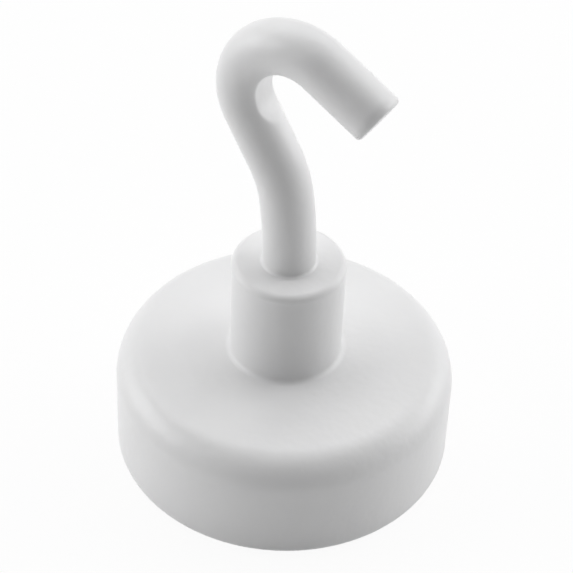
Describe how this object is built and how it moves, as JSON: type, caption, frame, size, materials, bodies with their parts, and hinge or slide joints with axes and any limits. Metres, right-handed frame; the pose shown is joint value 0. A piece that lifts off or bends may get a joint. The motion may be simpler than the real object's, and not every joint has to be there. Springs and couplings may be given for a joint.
{
  "type": "magnetic hook",
  "caption": "Round pot magnet painted white, with a threaded collar on its back and a bent wire hook screwed into it.",
  "frame": {"origin": "centre of the magnet's holding face, on the plane of the cup's rim", "axes": "+Z along the collar and the hook's shank, away from the steel that the magnet holds to; +X towards the hook's tip; the bent wire lies in the XZ plane"},
  "size_m": [0.025, 0.025, 0.0377],
  "materials": {
    "white_powder_coat": "white powder coat on steel, smooth, semi-gloss",
    "nickel_plating": "bright nickel plate on sintered neodymium",
    "white_epoxy": "cast epoxy, off-white, matt"
  },
  "bodies": {
    "base": {"pot_cup": "white_powder_coat", "threaded_collar": "white_powder_coat", "magnet_disc": "nickel_plating", "potting_ring": "white_epoxy", "magnet_bond": "white_epoxy"},
    "hook": {"screw_hook": "white_powder_coat"}
  },
  "joints": [
    {"name": "hook_turn", "type": "hinge", "parent": "base", "child": "hook", "pos_m": [0, 0, 0.0175], "axis": [0, 0, 1], "range_deg": [0, 540]}
  ]
}
